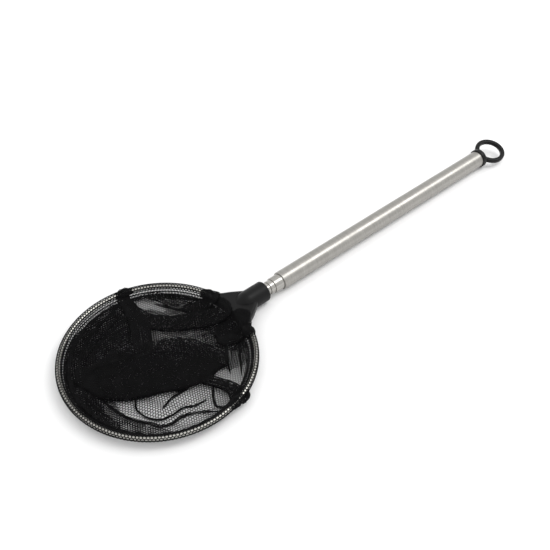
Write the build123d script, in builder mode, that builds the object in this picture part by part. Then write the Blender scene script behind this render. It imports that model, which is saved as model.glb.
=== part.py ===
"""Telescopic skimmer net: a round netted hoop on a four-section stainless handle with a hanging ring.

The handle's axis runs along X, the hoop is at the -X end, and +Z is up. The net lies on a flat
surface at Z = 0, on its yoke and its end cap, with the origin under the middle of its length.
"""

from build123d import *
import math
import os

os.makedirs("parts", exist_ok=True)

# ---------------------------------------------------------------- driving dimensions, millimetres

# hoop and netting
hoop_diameter = 150.0  # over the netting that wraps the rod
rod_radius = 1.6
sleeve_radius = 2.5  # the netting channel, rolled round the rod
hem_inner_radius = 66.0  # the netting's hem reaches in to here, where the bag hangs from it
hem_thickness = 0.8
netting_gap = 0.5  # degrees between the yoke's arms and the netting
bag_thickness = 1.2  # the layers of loose netting, pressed flat
bag_base_radius = 62.0
bag_ground_gap = 0.3
seam_x_from_hoop = 17.5  # the bag's U seam crosses the hoop here, towards the handle
seam_width = 2.4
seam_height = 2.2
tab_radius = 3.3
tab_arc = 5.0  # degrees of hoop that each seam tab covers
tab_flap = 4.0  # how far each tab lies over the hem
tab_flap_height = 1.6
tab_flap_inset = 0.2  # from the hem's inner edge
thread_radius = 0.35
stitch_inset = 1.6  # from the hem's inner edge to its stitching

# yoke
yoke_radius = 8.5
yoke_length = 17.5
yoke_mouth_round = 1.8
yoke_web_thickness = 8.0
web_round = 2.4
arm_tip_round = 2.0
arm_angle = 22.0  # where the yoke's arms end, seen from the hoop's centre
flare_angle = 17.5  # where the yoke's flare meets the hoop
arm_cover = 0.4  # rubber over the outside of the rod along the arms
flare_point = (79.0, 15.4)  # on the flare's edge, from the hoop's centre
web_inner_radius = 66.8
neck_into_socket = 6.0  # how far the flare runs on inside the socket
neck_half_width = 7.0
neck_heading = (-1.0, 0.5)  # the way the flare's edge leaves the socket
neck_unrounded = 0.5  # the flare's end inside the socket keeps its edges
nose_length = 13.0  # the socket fades into the flare over this length
nose_radius = 3.0
nose_heading = (-1.0, -0.3)  # the way the socket's top runs into the flare
tube_in_yoke = 14.0
leg_spacing = 3.5
leg_bend_angle = 21.0  # where the rod leaves its circle
leg_run_out = 5.0  # along the tangent, before the leg turns in
leg_in_socket = 2.0
shoulder_bend = 8.0
leg_bend = 9.0
leg_end_gap = 0.4  # past the yoke's mouth, inside the tube

# handle: outer radius, wall and how much of each section shows while it is pushed in
grip_radius = 7.5
grip_wall = 0.6
grip_length = 241.0
hoop_to_grip = 119.5  # hoop centre to the grip tube's mouth
stage_radii = (6.4, 5.6, 4.9)
stage_walls = (0.5, 0.4, 0.4)
stage_showing = (8.3, 4.2, 3.4)

# fits inside the handle
mouth_roll_share = 0.8  # of the wall, rounded over at each tube's mouth
lip_length = 1.2
lip_clearance = 0.08
neck_step = 0.5
bush_length = 12.0
bush_clearance = 0.05
bush_slot = 1.0
bush_chamfer = 0.25
ferrule_flange = 0.8
ferrule_depth = 5.0
ferrule_wall = 0.4
ferrule_chamfer = 0.2
end_play = 0.1
push_in_gap = 1.0
stop_gap = 0.4

# end cap
plug_length = 12.0
flange_radius = 8.5
flange_thickness = 5.0
flange_round = 1.6
ring_inner_radius = 9.9
ring_bar = 4.0
ring_bar_round = 1.2
ring_sink = 0.4
ring_roll = 11.0  # degrees about the handle, as the grip is turned in the head

# ---------------------------------------------------------------- places worked out from them

handle_z = flange_radius
ring_outer_radius = ring_inner_radius + ring_bar
hoop_to_flange = hoop_to_grip + grip_length + flange_thickness
hoop_to_ring = hoop_to_flange - ring_sink + ring_outer_radius
overall_length = hoop_diameter / 2 + hoop_to_ring + ring_outer_radius
hoop_x = hoop_diameter / 2 - overall_length / 2
hoop_radius = hoop_diameter / 2 - sleeve_radius
grip_mouth_x = hoop_x + hoop_to_grip
grip_end_x = grip_mouth_x + grip_length
flange_end_x = hoop_x + hoop_to_flange
ring_x = hoop_x + hoop_to_ring
seam_x = hoop_x + seam_x_from_hoop

handle_axis = Axis((0, 0, handle_z), (1, 0, 0))
hoop_axis = Axis((hoop_x, 0, handle_z), (0, 0, 1))
side_plane = Plane((0, 0, handle_z), x_dir=(1, 0, 0), z_dir=(0, -1, 0))
hoop_plane = Plane((hoop_x, 0, handle_z))


def across_handle(x):
    """A plane square to the handle at x, looking along +X."""
    return Plane((x, 0, handle_z), x_dir=(0, 1, 0), z_dir=(1, 0, 0))


def across_rod(degrees):
    """A plane that cuts the hoop at an angle from the handle: local x outwards, local y up."""
    turn = math.radians(degrees)
    outwards = (math.cos(turn), math.sin(turn), 0)
    square_to_it = (math.sin(turn), -math.cos(turn), 0)
    return Plane((hoop_x, 0, handle_z), x_dir=outwards, z_dir=square_to_it)


def finish(solid, name):
    """Labels a sub-part and writes its STEP file."""
    solid.label = name
    export_step(solid, f"parts/{name}.step")


# ---------------------------------------------------------------- telescopic handle


def tube(mouth_x, end_x, radius, wall, lip_bore=None, neck_x=None):
    """A tube along the handle, with its mouth rolled in to lip_bore and its far end necked down."""
    bore = radius - wall
    roll = wall * mouth_roll_share
    far_end = [(end_x, radius), (end_x, bore)]
    if neck_x:
        far_end = [
            (neck_x, radius),
            (neck_x, radius - neck_step),
            (end_x, radius - neck_step),
            (end_x, bore - neck_step),
            (neck_x - wall, bore - neck_step),
            (neck_x - wall, bore),
        ]
    rolled_mouth = [(mouth_x, bore), (mouth_x, radius - roll)]
    if lip_bore:
        rolled_mouth = [
            (mouth_x + lip_length, bore),
            (mouth_x + lip_length, lip_bore),
            (mouth_x, lip_bore),
            (mouth_x, radius - roll),
        ]
    with BuildPart() as piece:
        with BuildSketch(side_plane):
            with BuildLine():
                RadiusArc((mouth_x, radius - roll), (mouth_x + roll, radius), roll)
                Polyline((mouth_x + roll, radius), *far_end, *rolled_mouth)
            make_face()
        revolve(axis=handle_axis)
    return piece.part


def friction_bush(start_x, inner_radius, outer_radius):
    """A split ring that grips the tube outside it, and in which the tube inside it turns."""
    with BuildPart() as piece:
        with BuildSketch(across_handle(start_x)):
            Circle(outer_radius)
            Circle(inner_radius, mode=Mode.SUBTRACT)
        extrude(amount=bush_length)
        with BuildSketch(across_handle(start_x)):
            with Locations((0, outer_radius)):
                Rectangle(bush_slot, outer_radius)
        extrude(amount=bush_length, mode=Mode.SUBTRACT)
        rims = piece.edges().filter_by(GeomType.CIRCLE).group_by(SortBy.RADIUS)[-1]
        chamfer(rims, length=bush_chamfer)
    return piece.part


def end_ferrule(neck_end_x, neck_bore, flange_radius_here):
    """A flanged ferrule pressed into a tube's necked end, which keeps its bush on."""
    with BuildPart() as piece:
        with BuildSketch(across_handle(neck_end_x - ferrule_depth)):
            Circle(neck_bore)
        extrude(amount=ferrule_depth)
        with BuildSketch(across_handle(neck_end_x)):
            Circle(flange_radius_here)
        extrude(amount=ferrule_flange)
        with BuildSketch(across_handle(neck_end_x - ferrule_depth)):
            Circle(neck_bore - ferrule_wall)
        extrude(amount=ferrule_depth + ferrule_flange, mode=Mode.SUBTRACT)
        chamfer(piece.edges().sort_by(Axis.X)[-1], length=ferrule_chamfer)
    return piece.part


grip_bore = grip_radius - grip_wall
grip_tube = tube(
    grip_mouth_x,
    grip_end_x,
    grip_radius,
    grip_wall,
    lip_bore=stage_radii[0] + lip_clearance,
)
finish(grip_tube, "grip_tube")

outer_bore = grip_bore
outer_mouth_x = grip_mouth_x
last_x = grip_end_x - plug_length
for index, radius in enumerate(stage_radii):
    stage = index + 2
    wall = stage_walls[index]
    is_last = index == len(stage_radii) - 1
    mouth_x = outer_mouth_x - stage_showing[index]
    front_x = mouth_x - tube_in_yoke if is_last else mouth_x
    end_x = last_x - push_in_gap - ferrule_flange
    bush_x = end_x - end_play - bush_length
    neck_x = bush_x - end_play
    lip_bore = None if is_last else stage_radii[index + 1] + lip_clearance
    stage_tube = tube(front_x, end_x, radius, wall, lip_bore, neck_x)
    neck_radius = radius - neck_step
    bush = friction_bush(
        bush_x, neck_radius + bush_clearance, outer_bore - bush_clearance
    )
    ferrule = end_ferrule(end_x, neck_radius - wall, radius)
    finish(stage_tube, f"stage_{stage}_tube")
    finish(bush, f"stage_{stage}_bush")
    finish(ferrule, f"stage_{stage}_end_ferrule")
    travel = bush_x - (outer_mouth_x + lip_length) - stop_gap
    print(f"stage_{stage}: front x {front_x:.2f}, end x {end_x:.2f}, travel {travel:.2f} mm")
    outer_bore = radius - wall
    outer_mouth_x = mouth_x
    last_x = neck_x - wall

yoke_mouth_x = outer_mouth_x
tube_front_x = yoke_mouth_x - tube_in_yoke
head_tube_bore = stage_radii[-1] - stage_walls[-1]

# ---------------------------------------------------------------- end cap with its hanging ring

ring_tilt = math.radians(ring_roll)
tube_side_round = flange_round / 2
ring_plane = Plane(
    (ring_x, 0, handle_z),
    x_dir=(1, 0, 0),
    z_dir=(0, -math.sin(ring_tilt), math.cos(ring_tilt)),
)

with BuildPart() as end_cap:
    with BuildSketch(ring_plane.offset(-ring_bar / 2)):
        Circle(ring_outer_radius)
        Circle(ring_inner_radius, mode=Mode.SUBTRACT)
    extrude(amount=ring_bar)
    fillet(end_cap.edges(), radius=ring_bar_round)
    with BuildSketch(across_handle(grip_end_x - plug_length)):
        Circle(grip_bore)
    extrude(amount=plug_length)
    with BuildSketch(side_plane):
        with BuildLine():
            Polyline(
                (flange_end_x, flange_radius - flange_round),
                (flange_end_x, 0),
                (grip_end_x, 0),
                (grip_end_x, flange_radius - tube_side_round),
            )
            RadiusArc(
                (grip_end_x, flange_radius - tube_side_round),
                (grip_end_x + tube_side_round, flange_radius),
                tube_side_round,
            )
            Line(
                (grip_end_x + tube_side_round, flange_radius),
                (flange_end_x - flange_round, flange_radius),
            )
            RadiusArc(
                (flange_end_x - flange_round, flange_radius),
                (flange_end_x, flange_radius - flange_round),
                flange_round,
            )
        make_face()
    revolve(axis=handle_axis)
finish(end_cap.part, "end_cap")

# ---------------------------------------------------------------- hoop rod and yoke

bend = math.radians(leg_bend_angle)
rod_leaves = (hoop_radius * math.cos(bend), hoop_radius * math.sin(bend))
shoulder = (
    rod_leaves[0] + leg_run_out * math.sin(bend),
    rod_leaves[1] - leg_run_out * math.cos(bend),
)
neck_from_hoop = yoke_mouth_x - hoop_x - yoke_length
leg_corner = (neck_from_hoop + leg_in_socket, leg_spacing / 2)
leg_end = (yoke_mouth_x - hoop_x + leg_end_gap, leg_spacing / 2)


def mirrored(point):
    """The same place on the other side of the handle."""
    return (point[0], -point[1])


def on_circle(radius, degrees):
    """A point at a radius and an angle from the handle, seen from the hoop's centre."""
    turn = math.radians(degrees)
    return (radius * math.cos(turn), radius * math.sin(turn))


with BuildPart() as hoop_rod:
    with BuildLine(hoop_plane) as rod_path:
        FilletPolyline(leg_end, leg_corner, shoulder, rod_leaves, radius=(leg_bend, shoulder_bend))
        CenterArc((0, 0), hoop_radius, leg_bend_angle, 360 - 2 * leg_bend_angle)
        FilletPolyline(
            mirrored(rod_leaves),
            mirrored(shoulder),
            mirrored(leg_corner),
            mirrored(leg_end),
            radius=(shoulder_bend, leg_bend),
        )
    with BuildSketch(Plane(rod_path.line @ 0, z_dir=rod_path.line % 0)):
        Circle(rod_radius)
    sweep(path=rod_path.line)
finish(hoop_rod.part, "hoop_rod")

with BuildPart() as leg_crimp:
    with BuildSketch(across_handle(tube_front_x)):
        Circle(head_tube_bore)
    extrude(amount=tube_in_yoke)
    add(hoop_rod.part, mode=Mode.SUBTRACT)
finish(leg_crimp.part, "leg_crimp")

arm_outer_radius = hoop_radius + rod_radius + arm_cover
arm_outer = on_circle(arm_outer_radius, arm_angle)
arm_inner = on_circle(web_inner_radius, arm_angle)
flare_end = on_circle(arm_outer_radius, flare_angle)
flare_end_heading = (-flare_end[1], flare_end[0])
neck_point = (neck_from_hoop + neck_into_socket, neck_half_width)
socket_front_x = yoke_mouth_x - yoke_length
web_top = yoke_web_thickness / 2

with BuildPart() as yoke:
    with BuildSketch(hoop_plane.offset(-web_top)):
        with BuildLine() as half_outline:
            Spline(neck_point, flare_point, flare_end, tangents=(neck_heading, flare_end_heading))
            ThreePointArc(
                flare_end, on_circle(arm_outer_radius, (flare_angle + arm_angle) / 2), arm_outer
            )
            Line(arm_outer, arm_inner)
            ThreePointArc(
                arm_inner, on_circle(web_inner_radius, arm_angle / 2), (web_inner_radius, 0)
            )
            Polyline((web_inner_radius, 0), (neck_point[0], 0), neck_point)
        make_face()
        mirror(about=Plane.XZ)
    extrude(amount=yoke_web_thickness)
    fillet(yoke.edges().filter_by(Axis.Z).sort_by(Axis.X)[:4], radius=arm_tip_round)
    web_rims = yoke.edges().filter_by(Axis.Z, reverse=True)
    in_front_of_socket = hoop_x + neck_point[0] - neck_unrounded
    fillet(
        web_rims.filter_by(lambda rim: rim.center().X < in_front_of_socket), radius=web_round
    )
    with BuildSketch(side_plane):
        with BuildLine():
            Spline(
                (socket_front_x, yoke_radius),
                (socket_front_x - nose_length, nose_radius),
                tangents=((-1, 0), nose_heading),
            )
            Polyline(
                (socket_front_x - nose_length, nose_radius),
                (socket_front_x - nose_length, 0),
                (yoke_mouth_x, 0),
                (yoke_mouth_x, yoke_radius),
                (socket_front_x, yoke_radius),
            )
        make_face()
    revolve(axis=handle_axis)
    fillet(
        yoke.edges().filter_by(GeomType.CIRCLE).sort_by(Axis.X)[-1], radius=yoke_mouth_round
    )
    with BuildSketch(across_handle(tube_front_x)):
        Circle(stage_radii[-1])
    extrude(amount=tube_in_yoke, mode=Mode.SUBTRACT)
    add(hoop_rod.part, mode=Mode.SUBTRACT)
finish(yoke.part, "yoke")

# ---------------------------------------------------------------- netting

netting_start = arm_angle + netting_gap
netting_arc = 360 - 2 * netting_start
tab_angle = math.degrees(math.acos(seam_x_from_hoop / hoop_radius))
hem_top = hem_thickness / 2
tab_flap_middle = hem_inner_radius + tab_flap_inset + tab_flap / 2


def seam_tab(middle_angle):
    """The knot of netting where the bag's seam is tacked over the rim."""
    with BuildPart() as piece:
        with BuildSketch(across_rod(middle_angle - tab_arc / 2)):
            with Locations((hoop_radius, 0)):
                Circle(tab_radius)
                Circle(sleeve_radius, mode=Mode.SUBTRACT)
            with Locations((tab_flap_middle, hem_top + tab_flap_height / 2)):
                Rectangle(tab_flap, tab_flap_height)
            with Locations((hoop_radius, 0)):
                Circle(sleeve_radius, mode=Mode.SUBTRACT)
        revolve(axis=hoop_axis, revolution_arc=tab_arc)
    return piece.part


seam_tab_left = seam_tab(tab_angle)
seam_tab_right = seam_tab(-tab_angle)
finish(seam_tab_left, "seam_tab_left")
finish(seam_tab_right, "seam_tab_right")

with BuildPart() as rim_sleeve:
    with BuildSketch(across_rod(netting_start)):
        with Locations((hoop_radius, 0)):
            Circle(sleeve_radius)
        with Locations(((hem_inner_radius + hoop_radius) / 2, 0)):
            Rectangle(hoop_radius - hem_inner_radius, hem_thickness)
        with Locations((hoop_radius, 0)):
            Circle(rod_radius, mode=Mode.SUBTRACT)
    revolve(axis=hoop_axis, revolution_arc=netting_arc)
    add(seam_tab_left, mode=Mode.SUBTRACT)
    add(seam_tab_right, mode=Mode.SUBTRACT)
finish(rim_sleeve.part, "rim_sleeve")

with BuildPart() as hem_stitching:
    with BuildSketch(across_rod(netting_start)):
        with Locations((hem_inner_radius + stitch_inset, hem_top + thread_radius)):
            Circle(thread_radius)
    revolve(axis=hoop_axis, revolution_arc=netting_arc)
    add(seam_tab_left, mode=Mode.SUBTRACT)
    add(seam_tab_right, mode=Mode.SUBTRACT)
finish(hem_stitching.part, "hem_stitching")


def bag_outline(thickness):
    """The lying bag's half section, as (distance from the hoop's centre, height above the rod)."""
    ground = bag_ground_gap - handle_z
    return (
        (0, ground),
        (bag_base_radius, ground),
        (hem_inner_radius, hem_top),
        (hem_inner_radius - thickness, hem_top),
        (bag_base_radius - thickness, ground + thickness),
        (0, ground + thickness),
    )


def bag_between(low_x, high_x, thickness):
    """The stretch of the bag between two planes square to the handle."""
    with BuildPart() as piece:
        with BuildSketch(across_rod(0)):
            with BuildLine():
                Polyline(*bag_outline(thickness), close=True)
            make_face()
        revolve(axis=hoop_axis)
        with Locations(((low_x + high_x) / 2, 0, handle_z)):
            Box(high_x - low_x, hoop_diameter, hoop_diameter, mode=Mode.INTERSECT)
    return piece.part


far_panel = bag_between(
    hoop_x - hoop_radius, seam_x - seam_width / 2, bag_thickness
)
near_panel = bag_between(
    seam_x + seam_width / 2, hoop_x + hoop_radius, bag_thickness
)
bag_seam = bag_between(seam_x - seam_width / 2, seam_x + seam_width / 2, seam_height)
finish(far_panel, "net_panel_far")
finish(near_panel, "net_panel_near")
finish(bag_seam, "bag_seam")
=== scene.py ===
"""Looks of the telescopic skimmer net: steel, rubber, and a bag of black netting lying in its hoop.

The netting is real thread: each piece is a honeycomb of cells laid on the surface where the cloth
comes to rest, and every edge of a cell becomes a thread. Plan coordinates are millimetres from the
hoop's centre, x along the handle and y across it, and heights are millimetres over the floor.
"""

import math

import bpy
import numpy as np
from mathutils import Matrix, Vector


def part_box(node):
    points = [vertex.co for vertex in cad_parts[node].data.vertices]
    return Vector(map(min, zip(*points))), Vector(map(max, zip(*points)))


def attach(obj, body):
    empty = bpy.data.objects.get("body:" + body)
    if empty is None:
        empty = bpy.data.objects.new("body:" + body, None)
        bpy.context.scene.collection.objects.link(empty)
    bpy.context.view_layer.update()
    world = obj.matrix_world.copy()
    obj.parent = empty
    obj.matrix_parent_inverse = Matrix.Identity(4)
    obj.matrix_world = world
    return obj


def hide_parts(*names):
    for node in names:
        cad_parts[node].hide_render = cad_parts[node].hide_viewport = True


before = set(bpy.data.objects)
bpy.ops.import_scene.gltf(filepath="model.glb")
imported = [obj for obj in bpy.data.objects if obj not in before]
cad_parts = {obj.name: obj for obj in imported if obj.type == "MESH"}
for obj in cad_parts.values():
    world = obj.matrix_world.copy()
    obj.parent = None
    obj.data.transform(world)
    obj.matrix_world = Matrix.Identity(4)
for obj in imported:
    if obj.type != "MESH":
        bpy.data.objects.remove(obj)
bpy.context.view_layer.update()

# ---------------------------------------------------------------- places taken from the frame

MM = 0.001
HEAD = "head"
sleeve_low, sleeve_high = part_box("rim_sleeve")
hoop_outer = (sleeve_high[1] - sleeve_low[1]) / 2 / MM
hoop_centre_x = sleeve_low[0] + hoop_outer * MM
rod_low, rod_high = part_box("hoop_rod")
rod_height = (rod_low[2] + rod_high[2]) / 2 / MM
rod_radius = (rod_high[2] - rod_low[2]) / 2 / MM
rod_circle = (rod_high[1] - rod_low[1]) / 2 / MM - rod_radius

# ---------------------------------------------------------------- netting, driving sizes in mm

cell = 2.0  # across the flats of one mesh of the net
thread = 0.71
least_fill = 0.4  # least share of its flat rectangle that a sheet is taken to fill
stretched_cell = 2.5  # where it is pulled tight round the rim
stretched_thread = 0.85
slack_cell = 1.8  # where its meshes have closed up
slack_thread = 0.74
gathered_cell = 1.4  # where it is bunched together
gathered_thread = 0.68
sleeve_radius = 2.3  # the channel of netting round the rod
hem_drop = 40.0  # degrees below level that the hem hangs from the rod
hem_length = 5.2
hem_gap = 0.3
rod_wrap = 0.93  # share of the way round the rod before the hem leaves it
ground = 0.7  # height of the cloth where it lies on the floor
floor_reach = 58.0  # the bag lies on the floor out to here
netting_start = 22.0  # degrees from the handle where the yoke's arms end
seam_x = 17.5
tab_swell = 1.1  # how far a tab's wad stands out from the channel

hem_turn = math.radians(hem_drop)
hem_end_reach = rod_circle - (sleeve_radius + hem_length) * math.cos(hem_turn)
hem_end_height = rod_height - (sleeve_radius + hem_length) * math.sin(hem_turn)
slope_length = math.hypot(hem_end_reach - floor_reach, hem_end_height - ground)
cut_reach = floor_reach + slope_length  # radius of the flat disc that the bag's wall is cut from


def smooth_line(rows, per_span=10):
    """A smooth line through the rows, whose columns may also carry a width and a height."""
    rows = np.array(rows, float)
    ends = np.vstack([2 * rows[0] - rows[1], rows, 2 * rows[-1] - rows[-2]])
    line = []
    for before, start, end, after in zip(ends, ends[1:], ends[2:], ends[3:]):
        for t in np.arange(per_span) / per_span:
            line.append(
                0.5 * (2 * start + (end - before) * t
                       + (2 * before - 5 * start + 4 * end - after) * t ** 2
                       + (3 * start - before - 3 * end + after) * t ** 3)
            )
    line.append(rows[-1])
    return np.array(line)


def along(line):
    """Distance in plan from the start of the line to each of its points."""
    steps = np.hypot(*np.diff(line[:, :2], axis=0).T)
    return np.concatenate([[0.0], np.cumsum(steps)])


def ripple(x, y, wavelength, seed):
    """A gentle uneven surface between about -1 and 1, the same each run."""
    chance = np.random.default_rng(seed)
    total = np.zeros_like(x)
    for _ in range(7):
        turn = chance.uniform(0, 2 * math.pi)
        pitch = wavelength * chance.uniform(0.7, 1.6)
        phase = chance.uniform(0, 2 * math.pi)
        total += np.sin((x * math.cos(turn) + y * math.sin(turn)) * 2 * math.pi / pitch + phase)
    return total / 3.5


def honeycomb(low, high, size, keep):
    """Corners and six-sided cells of a honeycomb over a rectangle, where keep(x, y) says so."""
    rise = size * math.sqrt(3) / 2
    reach = size / math.sqrt(3)
    corners = []
    cells = []
    number = {}
    for row in range(int((high[1] - low[1]) / rise) + 1):
        for column in range(int((high[0] - low[0]) / size) + 1):
            x = low[0] + (column + 0.5 * (row % 2)) * size
            y = low[1] + row * rise
            if not keep(x, y):
                continue
            ring = []
            for turn in range(6):
                angle = math.radians(60 * turn + 30)
                corner = (x + reach * math.cos(angle), y + reach * math.sin(angle))
                key = (
                    round(2 * (corner[0] - low[0]) / size),
                    round(2 * math.sqrt(3) * (corner[1] - low[1]) / size),
                )
                if key not in number:
                    number[key] = len(corners)
                    corners.append(corner)
                ring.append(number[key])
            cells.append(ring)
    return np.array(corners), cells


def ring_area(corners):
    """Area inside a flat ring of corners."""
    x, y = corners.T
    return abs(np.dot(x, np.roll(y, 1)) - np.dot(y, np.roll(x, 1))) / 2


def threads_of(name, patch, thickness=thread):
    """Threads along every edge of a patch: flat corners, cells, and where the corners come to lie."""
    flat, cells, laid = patch
    cloth = bpy.data.meshes.new(name + "_cloth")
    cloth.from_pydata([(hoop_centre_x + x * MM, y * MM, h * MM) for x, y, h in laid], [], cells)
    piece = bpy.data.objects.new(name, cloth)
    bpy.context.scene.collection.objects.link(piece)
    threads = piece.modifiers.new("threads", "WIREFRAME")
    threads.thickness = thickness * MM
    threads.use_even_offset = False
    threads.use_boundary = True
    view = bpy.context.evaluated_depsgraph_get()
    piece.data = bpy.data.meshes.new_from_object(piece.evaluated_get(view))
    piece.modifiers.clear()
    piece.data.name = name
    piece.data.polygons.foreach_set("use_smooth", [True] * len(piece.data.polygons))
    piece.data.materials.clear()
    piece.data.materials.append(netting)
    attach(piece, HEAD)
    return piece


def net_piece(name, patch, thickness=thread, stands_for=None):
    """A sheet of netting; its size before it is laid is worked out but not used."""
    piece = threads_of(name, patch, thickness)
    if stands_for:
        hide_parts(stands_for)
    flat, cells, _ = patch
    width, length = np.ptp(flat, axis=0) * MM
    area = len(cells) * ring_area(flat[cells[0]]) * MM ** 2
    # a sparse sheet's width is cut to fit least_fill of its rectangle, but the width is not
    # used; a sheet has to fill a fair share of its rectangle, so a sparse one is declared
    # narrower
    width = min(width, area / (least_fill * length))


def pinch(points, route, height, lean=0.0, reach=9.0):
    """Draws the cloth together along a route into a standing crease, and returns the new points."""
    ends_per_length = 5  # the crease dies away over a fifth of its length at each end
    end_curve = 0.7
    still_past_end = 1.5  # cloth this far past the route's ends stays where it is
    cloth_per_height = 1.05
    cloth_at_foot = 0.2
    half_fin = 0.25
    line = smooth_line(route)
    travelled = along(line)
    x, y, h = points.T
    gaps = np.hypot(x[:, None] - line[None, :, 0], y[:, None] - line[None, :, 1])
    nearest = gaps.argmin(axis=1)
    tangent = np.gradient(line[:, :2], axis=0)
    tangent /= np.hypot(*tangent.T)[:, None]
    across = np.stack([-tangent[:, 1], tangent[:, 0]], axis=1)[nearest]
    start = line[nearest, :2]
    side = (x - start[:, 0]) * across[:, 0] + (y - start[:, 1]) * across[:, 1]
    share = travelled[nearest] / travelled[-1]
    tall = height * np.clip(np.minimum(share, 1 - share) * ends_per_length, 0, 1) ** end_curve
    beyond = gaps.min(axis=1) - np.abs(side) > still_past_end
    half_cloth = tall * cloth_per_height + cloth_at_foot
    far = np.abs(side)
    in_fin = far < half_cloth
    share_in = np.clip(far / half_cloth, 0, 1)
    drawn = half_fin + (far - half_cloth) * (reach - half_fin) / (reach - half_cloth)
    new_side = np.sign(side) * np.where(in_fin, half_fin * share_in, np.minimum(drawn, far))
    lift = tall * (1 - share_in)
    moves = (far < reach) & ~beyond
    shift = np.where(moves, new_side - side + lean * lift, 0.0)
    moved = points.copy()
    moved[:, 0] += across[:, 0] * shift
    moved[:, 1] += across[:, 1] * shift
    moved[:, 2] += np.where(moves, lift, 0.0)
    return moved


# ---------------------------------------------------------------- where the bag's cloth lies


def lie_in_hoop(flat, seed=3):
    """Lays flat cloth in the hoop: on the floor in the middle, up to the hem all round."""
    broad_waver = 2.0
    small_waver = 1.2
    climb_curve = 1.4
    half_wave = 0.55
    wave_length = 17.0
    x, y = flat.T
    reach = np.hypot(x, y)
    turn = np.arctan2(y, x)
    foot = floor_reach + broad_waver * np.sin(3 * turn + 1.0) + small_waver * np.sin(7 * turn + 0.4)
    climb = np.clip((reach - foot) / (cut_reach - foot), 0, 1)
    eased = climb ** climb_curve
    new_reach = np.where(climb > 0, foot + (hem_end_reach - foot) * climb, reach)
    height = ground + (hem_end_height - ground) * eased
    height += half_wave * (1 + ripple(x, y, wave_length, seed)) * (1 - climb)
    scale = new_reach / np.maximum(reach, 1e-6)
    return np.stack([x * scale, y * scale, height], axis=1)


def wall_patch(keep, creases):
    """The single layer of netting that spans the hoop, on one side of the seam."""
    corners, cells = honeycomb(
        (-cut_reach, -cut_reach), (cut_reach, cut_reach), cell,
        lambda x, y: math.hypot(x, y) < cut_reach and keep(x, y),
    )
    points = lie_in_hoop(corners)
    for route, height, lean in creases:
        points = pinch(points, route, height, lean)
    return corners, cells, points


def inside(outline, x, y):
    """Whether a point is inside a closed outline."""
    crossings = 0
    for (ax, ay), (bx, by) in zip(outline, outline[1:] + outline[:1]):
        if (ay > y) != (by > y) and x < ax + (bx - ax) * (y - ay) / (by - ay):
            crossings += 1
    return crossings % 2 == 1


def layer_patch(outline, lift, seed, creases=(), size=cell, uneven=0.5):
    """A further layer of slack cloth over the wall, whose edges turn down onto it."""
    turned_down = 4.0  # width of the strip round the edge that slopes down onto the wall
    wave_length = 9.0
    corners, cells = honeycomb(
        (-cut_reach, -cut_reach), (cut_reach, cut_reach), size,
        lambda x, y: math.hypot(x, y) < cut_reach and inside(outline, x, y),
    )
    points = lie_in_hoop(corners, seed)
    rim_of_layer = smooth_line(outline + outline[:1], per_span=8)
    x, y = corners.T
    gaps = np.hypot(x[:, None] - rim_of_layer[:, 0], y[:, None] - rim_of_layer[:, 1]).min(axis=1)
    rise = np.clip(gaps / turned_down, 0, 1)
    points[:, 2] += lift * np.sqrt(rise) + uneven * ripple(x, y, wave_length, seed + 100) * rise
    for route, height, lean in creases:
        points = pinch(points, route, height, lean)
    return corners, cells, points


def fold_patch(route, thickness=3.4, size=gathered_cell, taper=6.0, rough=0.5, seed=1, creases=()):
    """Netting folded flat along a route, whose rows are x, y, half width and height underneath."""
    line = smooth_line(route)
    travelled = along(line)
    total = travelled[-1]
    widest = line[:, 2].max()
    half_thick = thickness / 2
    side_margin = 0.6
    wave_length = 11.0

    def half_width(s):
        ends = np.clip(np.minimum(s, total - s) / taper, 0, 1)
        return np.interp(s, travelled, line[:, 2]) * np.sqrt(1 - (1 - ends) ** 2)

    def keep(s, w):
        return 0 <= s <= total and abs(w) < 2 * half_width(s) + side_margin

    corners, cells = honeycomb((0, -2 * widest - 2), (total, 2 * widest + 2), size, keep)
    s, w = corners.T
    wide = np.maximum(half_width(s), half_thick)
    level = wide - half_thick
    past = np.abs(w) - level
    round_end = math.pi * half_thick
    bend = np.clip(past / half_thick, 0, math.pi)
    side = np.where(past < 0, np.abs(w), level + half_thick * np.sin(bend))
    side = np.where(past > round_end, level - (past - round_end), side)
    lift = half_thick * np.where(past < 0, 1.0, np.cos(bend))
    across = np.sign(w) * side
    tangent = np.gradient(line[:, :2], axis=0)
    tangent /= np.hypot(*tangent.T)[:, None]
    x = np.interp(s, travelled, line[:, 0]) - across * np.interp(s, travelled, tangent[:, 1])
    y = np.interp(s, travelled, line[:, 1]) + across * np.interp(s, travelled, tangent[:, 0])
    h = np.interp(s, travelled, line[:, 3]) + half_thick + lift
    h += rough * ripple(x, y, wave_length, seed) * (1 + lift / half_thick) / 2
    points = np.stack([x, y, h], axis=1)
    for crease_route, height, lean in creases:
        top = lift > 0
        points[top] = pinch(points[top], crease_route, height, lean)
    return corners, cells, points


# ---------------------------------------------------------------- materials


def new_material(name, colour, roughness, metallic=0.0, specular=0.5):
    """A material with one principled shader, returned with its node tree and that shader."""
    material = bpy.data.materials.new(name)
    material.use_nodes = True
    tree = material.node_tree
    shader = tree.nodes["Principled BSDF"]
    shader.inputs["Base Color"].default_value = (*colour, 1)
    shader.inputs["Roughness"].default_value = roughness
    shader.inputs["Metallic"].default_value = metallic
    shader.inputs["Specular IOR Level"].default_value = specular
    return material, tree, shader


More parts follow.
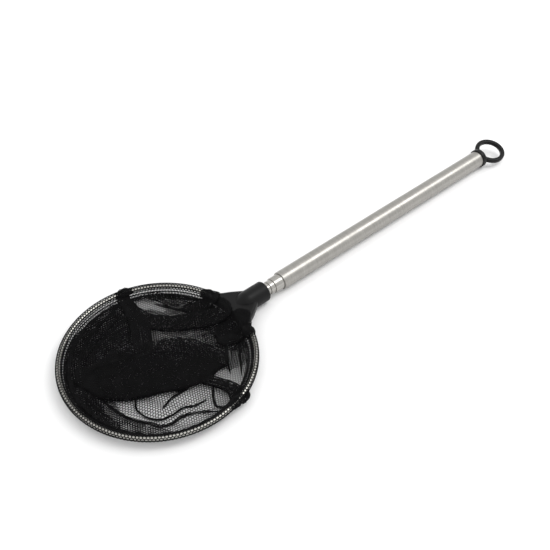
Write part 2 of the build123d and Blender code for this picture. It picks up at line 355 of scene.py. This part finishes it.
def noise_node(tree, scale, stretch=(1, 1, 1), detail=4.0, roughness=0.6):
    """Noise over the object's own coordinates, stretched along an axis by a small number."""
    place = tree.nodes.new("ShaderNodeTexCoord")
    mapping = tree.nodes.new("ShaderNodeMapping")
    mapping.inputs["Scale"].default_value = stretch
    noise = tree.nodes.new("ShaderNodeTexNoise")
    noise.inputs["Scale"].default_value = scale
    noise.inputs["Detail"].default_value = detail
    noise.inputs["Roughness"].default_value = roughness
    tree.links.new(place.outputs["Object"], mapping.inputs["Vector"])
    tree.links.new(mapping.outputs["Vector"], noise.inputs["Vector"])
    return noise


def vary_colour(tree, shader, noise, dark, light, low=0.3, high=0.7):
    """Drives the shader's colour from noise, between a dark and a light colour."""
    ramp = tree.nodes.new("ShaderNodeValToRGB")
    ramp.color_ramp.elements[0].position = low
    ramp.color_ramp.elements[0].color = (*dark, 1)
    ramp.color_ramp.elements[1].position = high
    ramp.color_ramp.elements[1].color = (*light, 1)
    tree.links.new(noise.outputs["Fac"], ramp.inputs["Fac"])
    tree.links.new(ramp.outputs["Color"], shader.inputs["Base Color"])


def vary_roughness(tree, shader, noise, smooth, rough):
    """Drives the shader's roughness from noise."""
    spread = tree.nodes.new("ShaderNodeMapRange")
    spread.inputs["From Min"].default_value = 0.3
    spread.inputs["From Max"].default_value = 0.7
    spread.inputs["To Min"].default_value = smooth
    spread.inputs["To Max"].default_value = rough
    tree.links.new(noise.outputs["Fac"], spread.inputs["Value"])
    tree.links.new(spread.outputs["Result"], shader.inputs["Roughness"])


def add_bump(tree, shader, noise, strength, depth_mm):
    """Raises the surface by noise."""
    bump = tree.nodes.new("ShaderNodeBump")
    bump.inputs["Strength"].default_value = strength
    bump.inputs["Distance"].default_value = depth_mm * MM
    tree.links.new(noise.outputs["Fac"], bump.inputs["Height"])
    tree.links.new(bump.outputs["Normal"], shader.inputs["Normal"])


def brushed_steel():
    """Warm steel, ground round the tube so that its fine lines run across the length."""
    material, tree, shader = new_material("steel_brushed", (0.34, 0.33, 0.31), 0.36, metallic=1.0)
    lines = noise_node(tree, 900.0, stretch=(1.0, 0.12, 0.12), detail=3.0)
    vary_colour(tree, shader, lines, (0.30, 0.29, 0.272), (0.385, 0.375, 0.352))
    wear = noise_node(tree, 60.0, stretch=(0.4, 1.0, 1.0))
    vary_roughness(tree, shader, wear, 0.27, 0.42)
    add_bump(tree, shader, lines, 0.25, 0.02)
    return material


def plain_steel():
    """Smoother drawn steel of the inner sections."""
    material, tree, shader = new_material("steel_plain", (0.46, 0.45, 0.43), 0.22, metallic=1.0)
    drawn = noise_node(tree, 500.0, stretch=(0.08, 1.0, 1.0), detail=2.0)
    vary_colour(tree, shader, drawn, (0.34, 0.33, 0.31), (0.46, 0.45, 0.425))
    vary_roughness(tree, shader, drawn, 0.14, 0.28)
    return material


def bright_rod():
    """Polished rod of the hoop."""
    material, tree, shader = new_material("steel_bright", (0.6, 0.59, 0.55), 0.18, metallic=1.0)
    spots = noise_node(tree, 220.0)
    vary_colour(tree, shader, spots, (0.52, 0.51, 0.47), (0.66, 0.65, 0.61))
    vary_roughness(tree, shader, spots, 0.26, 0.4)
    return material


def black_rubber(name, dark, light, smooth, rough):
    """Moulded black rubber or plastic with a fine matt skin."""
    material, tree, shader = new_material(name, dark, rough, specular=0.19)
    cloudy = noise_node(tree, 45.0)
    vary_colour(tree, shader, cloudy, dark, light)
    vary_roughness(tree, shader, cloudy, smooth, rough)
    grain = noise_node(tree, 2600.0, detail=2.0)
    add_bump(tree, shader, grain, 0.35, 0.03)
    return material


def black_netting(name, dark, light, roughness):
    """Black nylon thread with a faint sheen and uneven dye."""
    material, tree, shader = new_material(name, dark, roughness, specular=0.09)
    dye = noise_node(tree, 160.0)
    vary_colour(tree, shader, dye, dark, light)
    fibres = noise_node(tree, 5200.0, detail=2.0)
    vary_roughness(tree, shader, fibres, roughness - 0.12, roughness + 0.12)
    return material


def white_nylon():
    """Turned nylon of the bushes inside the handle."""
    material, tree, shader = new_material("nylon_white", (0.78, 0.77, 0.73), 0.45)
    turned = noise_node(tree, 900.0, stretch=(1.0, 0.2, 0.2))
    vary_colour(tree, shader, turned, (0.72, 0.71, 0.67), (0.83, 0.82, 0.79))
    add_bump(tree, shader, turned, 0.2, 0.02)
    return material


steel_tube = brushed_steel()
steel_inner = plain_steel()
steel_rod = bright_rod()
rubber = black_rubber("rubber_black", (0.002, 0.002, 0.0021), (0.0035, 0.0035, 0.0037), 0.38, 0.48)
plastic = black_rubber("plastic_black", (0.002, 0.002, 0.0021), (0.0035, 0.0035, 0.0037), 0.3, 0.42)
netting = black_netting("netting_black", (0.004, 0.004, 0.0043), (0.0075, 0.0075, 0.008), 0.55)
sewing = black_netting("thread_black", (0.004, 0.004, 0.0042), (0.009, 0.009, 0.0092), 0.6)
nylon = white_nylon()

node_materials = {
    "grip_tube": steel_tube,
    "stage_2_tube": steel_inner,
    "stage_3_tube": steel_inner,
    "stage_4_tube": steel_inner,
    "hoop_rod": steel_rod,
    "leg_crimp": steel_inner,
    "yoke": rubber,
    "end_cap": plastic,
}
for stage in (2, 3, 4):
    node_materials[f"stage_{stage}_bush"] = nylon
    node_materials[f"stage_{stage}_end_ferrule"] = steel_inner
for node, material in node_materials.items():
    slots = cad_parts[node].data.materials
    slots.clear()
    slots.append(material)

# ---------------------------------------------------------------- netting round the rim


def rim_patch():
    """Netting wrapped round the rod and closed on itself as the hanging hem."""
    around = math.pi * sleeve_radius * rod_wrap
    half_strip = around + hem_length
    arc = math.radians(360 - 2 * netting_start)
    length = arc * rod_circle
    corners, cells = honeycomb(
        (0, -half_strip), (length, half_strip), stretched_cell, lambda s, w: abs(w) < half_strip
    )
    s, w = corners.T
    turn = math.radians(netting_start) + s / rod_circle
    round_part = np.minimum(np.abs(w), around)
    bend = round_part / around * math.pi * rod_wrap
    straight = np.maximum(np.abs(w) - around, 0.0)
    # local axes: u points from the rod's middle down along the hem, v square to it
    u = -sleeve_radius * np.cos(bend) + straight
    v = sleeve_radius * np.sin(bend) * np.sign(w)
    pinched = np.sign(w) * hem_gap
    v = np.where(straight > 0, pinched, v)
    reach = rod_circle - u * math.cos(hem_turn) - v * math.sin(hem_turn)
    height = rod_height - u * math.sin(hem_turn) + v * math.cos(hem_turn)
    points = np.stack([reach * np.cos(turn), reach * np.sin(turn), height], axis=1)
    return corners, cells, points


def wad_patch(middle, half_arc, reach_of_middle, radius, seed):
    """A wad of bunched netting wrapped right round the rim, between two angles from the handle."""
    blunt_end = 0.06  # share of the length by which each end is cut short of a point
    end_curve = 0.35
    lumps = 0.14
    lump_length = 9.0
    around = math.pi * radius
    length = math.radians(2 * half_arc) * rod_circle
    corners, cells = honeycomb((0, -around), (length, around), gathered_cell, lambda s, w: True)
    s, w = corners.T
    turn = math.radians(middle - half_arc) + s / rod_circle
    bend = w / radius
    ends = np.sin(math.pi * np.clip(s / length, blunt_end, 1 - blunt_end)) ** end_curve
    swell = radius * ends * (1 + lumps * ripple(s * 2, w * 2, lump_length, seed))
    reach = reach_of_middle + swell * np.cos(bend)
    height = rod_height + swell * np.sin(bend)
    points = np.stack([reach * np.cos(turn), reach * np.sin(turn), height], axis=1)
    return corners, cells, points


net_piece(
    "rim_netting", rim_patch(), stretched_thread, stands_for="rim_sleeve"
)

seam_angle = math.degrees(math.acos(seam_x / rod_circle))
tab_radius = sleeve_radius + tab_swell
for side_name, sign in (("left", 1), ("right", -1)):
    net_piece(
        f"tab_wad_{side_name}", wad_patch(sign * seam_angle, 4.6, rod_circle, tab_radius, 31),
        gathered_thread, stands_for=f"seam_tab_{side_name}",
    )
    net_piece(
        f"tab_core_{side_name}",
        wad_patch(sign * seam_angle, 3.6, rod_circle - 1.0, tab_radius - 0.9, 32),
        gathered_thread,
    )

arm_middle = rod_circle - 1.9
arm_wad_radius = 4.8
arm_wads = {"left": (20.0, 4.5), "right": (-20.5, 4.0)}
for side_name, (middle, half_arc) in arm_wads.items():
    net_piece(
        f"arm_wad_{side_name}", wad_patch(middle, half_arc, arm_middle, arm_wad_radius, 33),
        gathered_thread,
    )

# ---------------------------------------------------------------- the bag's single layer

far_creases = [
    ([(-33, -17), (-37, -25), (-35, -35), (-29, -43), (-20, -45), (-11, -45), (-3, -49), (6, -50)],
     1.2, 0.3),
    ([(-52, 10), (-51, -5), (-48, -20), (-45, -30), (-37, -41), (-32, -48), (-25, -51), (-16, -51),
      (-4, -56), (8, -63)], 1.4, 0.35),
    ([(4, -33), (-5, -33), (-12, -33), (-19, -35), (-25, -37)], 1.2, -0.3),
]
near_creases = [
    ([(22, -38), (26, -46), (23, -56)], 1.2, 0.2),
]

# folded edges of the slack cloth: x, y, half width and height
crease_rolls = [
    [(-33, -17, 0.5, 0.6), (-37, -25, 0.5, 0.6), (-35, -35, 0.5, 0.6), (-29, -43, 0.7, 0.6),
     (-20, -45, 0.6, 0.6), (-11, -45, 0.6, 0.6), (-3, -49, 0.7, 0.6), (6, -50, 0.5, 0.6)],
    [(-52, 8, 0.8, 0.7), (-50, -10, 0.9, 0.7), (-46, -26, 0.9, 0.7), (-37, -41, 0.9, 0.7),
     (-32, -48, 1.0, 0.7), (-25, -51, 1.0, 0.7), (-16, -51, 0.9, 0.7), (-4, -56, 0.6, 0.9),
     (5, -65, 0.5, 2.5)],
    [(3, -33, 1.0, 0.7), (-5, -33, 0.9, 0.7), (-12, -33, 0.7, 0.7), (-22, -36, 0.5, 0.7)],
    [(17, -44, 0.7, 0.7), (11, -52, 0.8, 0.7), (8, -60, 0.8, 1.0), (13, -67, 0.8, 3.0)],
    [(58, -8, 1.0, 2.6), (48, -20, 0.9, 2.2), (40, -32, 0.8, 1.6), (34, -43, 0.6, 1.0)],
    [(63, -16, 1.0, 4.0), (55, -27, 0.9, 2.6), (47, -39, 0.7, 1.8), (39, -50, 0.5, 1.2)],
    [(67, -24, 0.9, 5.4), (62, -34, 0.8, 3.6), (54, -45, 0.6, 2.4), (46, -53, 0.5, 2.0)],
    [(58, 20, 1.0, 2.6), (46, 30, 0.9, 1.6), (38, 40, 0.8, 1.4), (32, 50, 0.6, 1.4)],
    [(63, 26, 0.9, 4.4), (53, 38, 0.8, 2.4), (42, 50, 0.7, 2.2), (30, 61, 0.6, 2.8)],
    [(10, 66, 0.9, 3.4), (-14, 58, 0.8, 2.6), (-36, 46, 0.7, 2.6), (-52, 28, 0.7, 2.6),
     (-60, 6, 0.6, 2.8)],
    [(6, 50, 1.0, 3.2), (-16, 46, 0.9, 3.0), (-36, 36, 0.7, 2.8), (-50, 22, 0.6, 2.6)],
]
rim_roll = [
    (-27, 61, 2.2, 4.6), (-46, 48.5, 2.4, 4.6), (-60.5, 28, 2.4, 4.4), (-66.5, 4, 2.4, 4.4),
    (-64, -19, 2.0, 4.4), (-59, -32, 1.2, 4.4),
]
rolls = [
    threads_of(
        f"bag_crease_{number}",
        fold_patch(roll, thickness=0.9, size=1.1, taper=5.0, rough=0.15, seed=60 + number),
        thickness=0.46,
    )
    for number, roll in enumerate(crease_rolls, start=1)
]
rolls.append(threads_of("bag_rim_roll", fold_patch(rim_roll, thickness=1.6, seed=75), gathered_thread))

net_piece(
    "bag_far_wall", wall_patch(lambda x, y: x < seam_x, far_creases),
    stands_for="net_panel_far",
)
net_piece(
    "bag_near_wall", wall_patch(lambda x, y: x >= seam_x, near_creases),
    stands_for="net_panel_near",
)

# ---------------------------------------------------------------- further layers of slack cloth

far_outline = [
    (14, 80), (19, 57), (17, 34), (30, -5), (36, -20), (30, -36), (10, -36), (-10, -26), (-30, -16),
    (-44, -6), (-48, -18), (-45, -30), (-40, -42), (-33, -52), (-28, -62), (-26, -80), (-80, -80),
    (-80, 80),
]
left_outline = [
    (10, 80), (13, 58), (2, 38), (-22, 30), (-44, 20), (-53, 4), (-56, -14), (-57, -28),
    (-58, -42), (-62, -80), (-80, -80), (-80, 80),
]
corner_outline = [
    (14, 80), (15, 56), (4, 30), (-24, 22), (-40, 12), (-52, -2), (-58, -16), (-61, -30), (-80, -44),
    (-80, 80),
]
near_outline = [
    (17, 80), (20, 64), (30, 58), (38, 46), (37, 37), (31, 37), (25, 47), (20, 50), (18, 40),
    (20, 14), (34, -6), (40, -14), (46, -30), (56, -38), (80, -36), (80, 80),
]
upper_outline = [
    (15, 80), (16, 60), (27, 60), (36, 50), (39, 41), (46, 38), (52, 28), (56, 22), (80, 18),
    (80, 80),
]
right_outline = [
    (44, 6), (60, 6), (80, 0), (80, -46), (60, -46), (46, -43), (36, -40), (32, -20),
]
slack_layers = {
    "far": layer_patch(far_outline, 0.9, 41),
    "near": layer_patch(near_outline, 1.0, 44, uneven=0.9, creases=[
        ([(64, 30), (46, 36), (30, 50), (24, 62)], 2.2, 0.3),
        ([(60, 18), (44, 20), (28, 24), (20, 30)], 2.4, 0.4),
        ([(50, 44), (38, 50), (30, 58)], 1.8, 0.3),
    ]),
    "upper": layer_patch(upper_outline, 1.6, 46, uneven=0.7, creases=[
        ([(18, 66), (34, 58), (48, 44), (58, 28)], 1.6, 0.3),
    ]),
    "right": layer_patch(right_outline, 1.8, 45, uneven=0.7, creases=[
        ([(60, -12), (50, -24), (40, -37)], 1.8, 0.3),
        ([(66, -20), (56, -32), (46, -42)], 1.8, 0.3),
    ]),
}
closed_layers = {
    "left": layer_patch(left_outline, 1.8, 42, size=slack_cell, uneven=0.9, creases=[
        ([(8, 56), (-14, 50), (-38, 38), (-52, 18), (-57, -6)], 2.2, 0.4),
        ([(0, 44), (-20, 40), (-42, 22)], 1.8, 0.3),
        ([(-60, 12), (-59, -10), (-52, -30), (-42, -44)], 2.0, 0.3),
    ]),
    "corner": layer_patch(corner_outline, 2.6, 43, size=slack_cell, uneven=0.8, creases=[
        ([(4, 60), (-20, 56), (-44, 40)], 1.8, -0.3),
    ]),
}
for side_name, patch in slack_layers.items():
    net_piece(f"bag_layer_{side_name}", patch)
for side_name, patch in closed_layers.items():
    net_piece(f"bag_layer_{side_name}", patch, slack_thread)

# ---------------------------------------------------------------- where the cloth is bunched

# the bag's end, drawn out and laid over itself: x, y, half width and height
tail_route = [
    (-59, 22, 5, 1.6), (-50, 19, 11, 1.6), (-38, 11, 20, 1.8), (-25, 4.5, 24, 1.8), (-3.5, -5, 24, 2),
    (11, -13, 24, 2.0), (23, -21, 19, 2.0), (33, -29, 10, 1.8), (38, -36, 4, 1.8),
]
tail_core_route = [
    (-54, 19, 6, 2.6), (-40, 11, 17, 2.8), (-27, 4, 21, 2.8), (-12, -9, 17, 2.8),
    (4, -21, 13, 2.8), (20, -27, 12, 2.8), (32, -33, 6, 2.6),
]
net_piece(
    "bag_tail",
    fold_patch(tail_route, thickness=3.8, size=slack_cell, taper=6.0, rough=0.8, seed=5,
               creases=[([(-50, 24), (-25, 18), (0, 6), (22, -8)], 1.6, 0.4)]),
    slack_thread,
)
net_piece(
    "bag_tail_core",
    fold_patch(tail_core_route, thickness=1.8, size=1.6, taper=9.0, rough=0.5, seed=6),
    gathered_thread,
)

# the gathers that run from the left tab and the bag's middle, up over the edge of the yoke
yoke_gathers = [
    [(13, 70, 4.5, 5.0), (14, 60, 4.5, 3.0), (15, 51, 5.0, 2.2), (17, 39, 6.5, 1.8),
     (24, 29, 7.5, 1.8), (32, 22, 7.5, 1.8), (42, 16, 8.0, 2.2), (53, 10, 9.0, 3.4),
     (61, 6, 10.0, 7.5), (67, 4, 10.0, 12.0), (71, 3, 9.0, 12.5)],
    [(77, -14, 4.5, 12.5), (70, -13, 8.0, 12.2), (62, -12, 9.0, 7.0), (55, -11, 9.0, 3.4),
     (47, -8, 7.0, 2.4)],
    [(71, 16, 4.5, 12.5), (66, 18, 6.0, 11.0), (60, 21, 6.0, 5.0), (52, 25, 5.0, 2.8),
     (44, 30, 3.5, 2.0)],
    [(72, -20, 3.5, 12.3), (67, -21, 4.5, 11.0), (60, -21, 5.5, 5.0), (52, -19, 5.0, 3.0),
     (45, -13, 4.0, 2.6)],
]
for number, route in enumerate(yoke_gathers, start=1):
    net_piece(
        f"bag_gather_{number}", fold_patch(route, thickness=2.6, seed=10 + number),
        gathered_thread,
    )

# the seam's bunched ends, from each tab in towards the tail
seam_bunches = {
    "left": [(14, 72, 4.5, 5.5), (14, 63, 5.0, 3.4), (13, 52, 6.0, 2.4), (9, 38, 7.0, 2.4),
             (2, 24, 7.0, 2.2), (-6, 10, 7.0, 2.0)],
    "right": [(23, -73, 7.5, 5.6), (24, -65, 7.0, 4.2), (24, -56, 4.0, 2.4), (20, -46, 3.2, 2.2),
              (13, -36, 3.2, 2.2)],
    "fold": [(28, -71, 4.0, 6.0), (27, -62, 4.0, 4.4), (25, -50, 2.6, 2.8), (18, -38, 2.6, 2.8)],
}
for side_name, route in seam_bunches.items():
    net_piece(
        f"bag_seam_{side_name}", fold_patch(route, thickness=3.2, seed=21),
        gathered_thread,
        stands_for="bag_seam" if side_name == "left" else None,
    )

# ---------------------------------------------------------------- stitching

stitches = 150
stitch_dip = 0.22
stitch_sway = 0.18
stitch_lift = 0.4  # height of the sewn thread over the cloth it holds
channel_gap = 0.3


def stitch_line(name, reach, height, radius_mm, material):
    """A sewn thread that dips in and out along the hem, as a round curve."""
    curve = bpy.data.curves.new(name, "CURVE")
    curve.dimensions = "3D"
    curve.bevel_depth = radius_mm * MM
    curve.bevel_resolution = 2
    spline = curve.splines.new("POLY")
    steps = 4 * stitches
    points = []
    for step in range(steps + 1):
        turn = math.radians(netting_start + (360 - 2 * netting_start) * step / steps)
        dip = stitch_dip * math.sin(step * math.pi / 2)
        sway = stitch_sway * math.cos(step * math.pi / 2)
        points.append((
            hoop_centre_x + (reach + sway) * math.cos(turn) * MM,
            (reach + sway) * math.sin(turn) * MM,
            (height + dip) * MM,
        ))
    spline.points.add(len(points) - 1)
    for point, place in zip(spline.points, points):
        point.co = (*place, 1)
    piece = bpy.data.objects.new(name, curve)
    bpy.context.scene.collection.objects.link(piece)
    curve.materials.append(material)
    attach(piece, HEAD)
    return piece


neck_reach = rod_circle - (sleeve_radius + channel_gap) * math.cos(hem_turn)
neck_height = rod_height - (sleeve_radius + channel_gap) * math.sin(hem_turn) + stitch_lift
stitch_line("channel_stitch", neck_reach, neck_height, 0.38, sewing)
hem_stitch = stitch_line("hem_stitch", hem_end_reach, hem_end_height + stitch_lift, 0.42, sewing)
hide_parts("hem_stitching")

# ---------------------------------------------------------------- floor, light and camera

eye_from_hoop = Vector((-0.2123, -0.3790, 0.5152))  # metres
target_from_hoop = Vector((0.1210, 0.0076, 0.0))


def white_floor():
    """A pale seamless floor."""
    mesh = bpy.data.meshes.new("floor")
    half = 3.0  # metres
    mesh.from_pydata(
        [(-half, -half, 0), (half, -half, 0), (half, half, 0), (-half, half, 0)], [], [(0, 1, 2, 3)]
    )
    floor = bpy.data.objects.new("floor", mesh)
    bpy.context.scene.collection.objects.link(floor)
    material, tree, shader = new_material("floor_white", (0.93, 0.93, 0.93), 0.8, specular=0.1)
    mesh.materials.append(material)


def overhead_box(place, width, depth, power):
    """A wide soft light that faces straight down."""
    light = bpy.data.lights.new("overhead", "AREA")
    light.shape = "RECTANGLE"
    light.size = width
    light.size_y = depth
    light.energy = power
    lamp = bpy.data.objects.new("overhead", light)
    lamp.location = place
    bpy.context.scene.collection.objects.link(lamp)


def studio_world():
    """A pale room, brighter overhead than at the horizon."""
    world = bpy.data.worlds.new("studio")
    world.use_nodes = True
    tree = world.node_tree
    place = tree.nodes.new("ShaderNodeTexCoord")
    parts = tree.nodes.new("ShaderNodeSeparateXYZ")
    spread = tree.nodes.new("ShaderNodeMapRange")
    spread.inputs["From Min"].default_value = 0.0
    spread.inputs["From Max"].default_value = 0.9
    spread.inputs["To Min"].default_value = 0.97
    spread.inputs["To Max"].default_value = 1.05
    background = tree.nodes["Background"]
    tree.links.new(place.outputs["Generated"], parts.inputs["Vector"])
    tree.links.new(parts.outputs["Z"], spread.inputs["Value"])
    tree.links.new(spread.outputs["Result"], background.inputs["Strength"])
    background.inputs["Color"].default_value = (1, 1, 1, 1)
    bpy.context.scene.world = world


def studio_camera():
    """The camera, looking down at the net from the side, along the hoop and the handle."""
    camera = bpy.data.cameras.new("camera")
    camera.sensor_width = 36.0
    camera.lens = 58.89
    camera.clip_end = 20.0
    holder = bpy.data.objects.new("camera", camera)
    bpy.context.scene.collection.objects.link(holder)
    hoop_centre = Vector((hoop_centre_x, 0, rod_height * MM))
    eye = hoop_centre + eye_from_hoop
    target = hoop_centre + target_from_hoop
    holder.location = eye
    holder.rotation_euler = (target - eye).to_track_quat("-Z", "Y").to_euler()
    bpy.context.scene.camera = holder


white_floor()
studio_world()
overhead_box(place=(1.05, -0.43, 1.4), width=1.6, depth=0.75, power=13.5)
studio_camera()
bpy.context.scene.view_settings.view_transform = "Standard"
